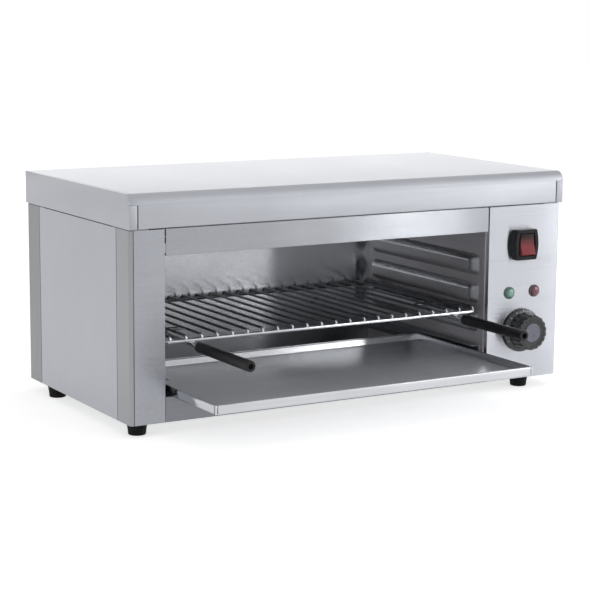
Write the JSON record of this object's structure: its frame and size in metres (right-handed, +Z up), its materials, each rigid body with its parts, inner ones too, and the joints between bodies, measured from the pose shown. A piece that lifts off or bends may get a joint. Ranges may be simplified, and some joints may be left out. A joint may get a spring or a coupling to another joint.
{
  "type": "cheese melter",
  "caption": "Counter-top cheese melter: open-fronted sheet-steel cabinet with a sliding wire rack, a pull-out crumb tray, a rocker switch, two lamps and a control knob.",
  "frame": {"origin": "on the surface that the feet stand on, under the middle of the whole footprint, rack handles and cable gland included", "axes": "+Z up, -Y towards the open front, +X to the right when facing the front"},
  "size_m": [0.6, 0.4404, 0.2745],
  "materials": {
    "body_steel": "fine brushed stainless sheet",
    "hood_steel": "fine brushed stainless sheet",
    "cover_steel": "dull stainless sheet",
    "frame_steel": "dull zinc-coated sheet",
    "cavity_steel": "bright annealed stainless sheet",
    "mirror_steel": "polished stainless sheet",
    "ceramic_wool": "felted ceramic fibre",
    "element_sheath": "heat-darkened steel tube",
    "ceramic": "white ceramic",
    "rack_chrome": "chromed wire",
    "handle_plastic": "black heat-proof plastic",
    "tray_steel": "bright stainless sheet",
    "switch_plastic": "black moulded plastic",
    "rocker_red": "red translucent plastic",
    "green_lens": "green translucent plastic",
    "red_lens": "red translucent plastic",
    "lamp_plastic": "dark moulded plastic",
    "thermostat_metal": "pressed metal",
    "zinc_screws": "zinc-plated",
    "knob_plastic": "black phenolic, polished face",
    "bulb_copper": "plain copper",
    "gland_plastic": "black nylon",
    "lead_insulation": "silicone insulation",
    "foot_rubber": "black rubber"
  },
  "bodies": {
    "body": {"base_pan": "frame_steel", "bottom_front_rail": "body_steel", "front_left_post": "body_steel", "left_corner_strip": "body_steel", "left_side_panel": "body_steel", "right_side_panel": "body_steel", "control_panel": "body_steel", "rear_cover": "cover_steel", "front_left_upright": "frame_steel", "front_right_upright": "frame_steel", "rear_left_upright": "frame_steel", "rear_right_upright": "frame_steel", "hood": "hood_steel", "hood_left_end": "hood_steel", "hood_right_end": "hood_steel", "hood_screws": "zinc_screws", "top_front_fascia": "body_steel", "left_cavity_wall": "cavity_steel", "right_cavity_wall": "cavity_steel", "back_cavity_wall": "mirror_steel", "ceiling_reflector": "cavity_steel", "ceiling_wool": "ceramic_wool", "left_tray_runner": "cavity_steel", "right_tray_runner": "cavity_steel", "front_element": "element_sheath", "rear_element": "element_sheath", "element_bushes": "ceramic", "left_element_hanger": "cavity_steel", "right_element_hanger": "cavity_steel", "switch_housing": "switch_plastic", "green_lamp_lens": "green_lens", "green_lamp_body": "lamp_plastic", "red_lamp_lens": "red_lens", "red_lamp_body": "lamp_plastic", "thermostat_body": "thermostat_metal", "thermostat_screws": "zinc_screws", "thermostat_bulb": "bulb_copper", "terminal_block": "ceramic", "cable_gland": "gland_plastic", "gland_nut": "gland_plastic", "wiring": "lead_insulation", "front_left_foot": "foot_rubber", "rear_left_foot": "foot_rubber", "front_right_foot": "foot_rubber", "rear_right_foot": "foot_rubber", "foot_screws": "zinc_screws", "rear_cover_screws": "zinc_screws"},
    "rack": {"wire_rack": "rack_chrome", "left_rack_handle": "handle_plastic", "right_rack_handle": "handle_plastic"},
    "tray": {"crumb_tray": "tray_steel"},
    "knob": {"control_knob": "knob_plastic", "thermostat_shaft": "thermostat_metal"},
    "rocker": {"switch_rocker": "rocker_red"}
  },
  "joints": [
    {"name": "rack_slide", "type": "slide", "parent": "body", "child": "rack", "axis": [0, -1, 0], "range_m": [0, 0.15]},
    {"name": "tray_slide", "type": "slide", "parent": "body", "child": "tray", "axis": [0, -1, 0], "range_m": [-0.103, 0.1]},
    {"name": "knob_turn", "type": "hinge", "parent": "body", "child": "knob", "pos_m": [0.242, -0.10375, 0.0765], "axis": [0, 1, 0], "range_deg": [0, 300]},
    {"name": "rocker_tilt", "type": "hinge", "parent": "body", "child": "rocker", "pos_m": [0.242, -0.09895, 0.1855], "axis": [1, 0, 0], "range_deg": [0, 18]}
  ]
}
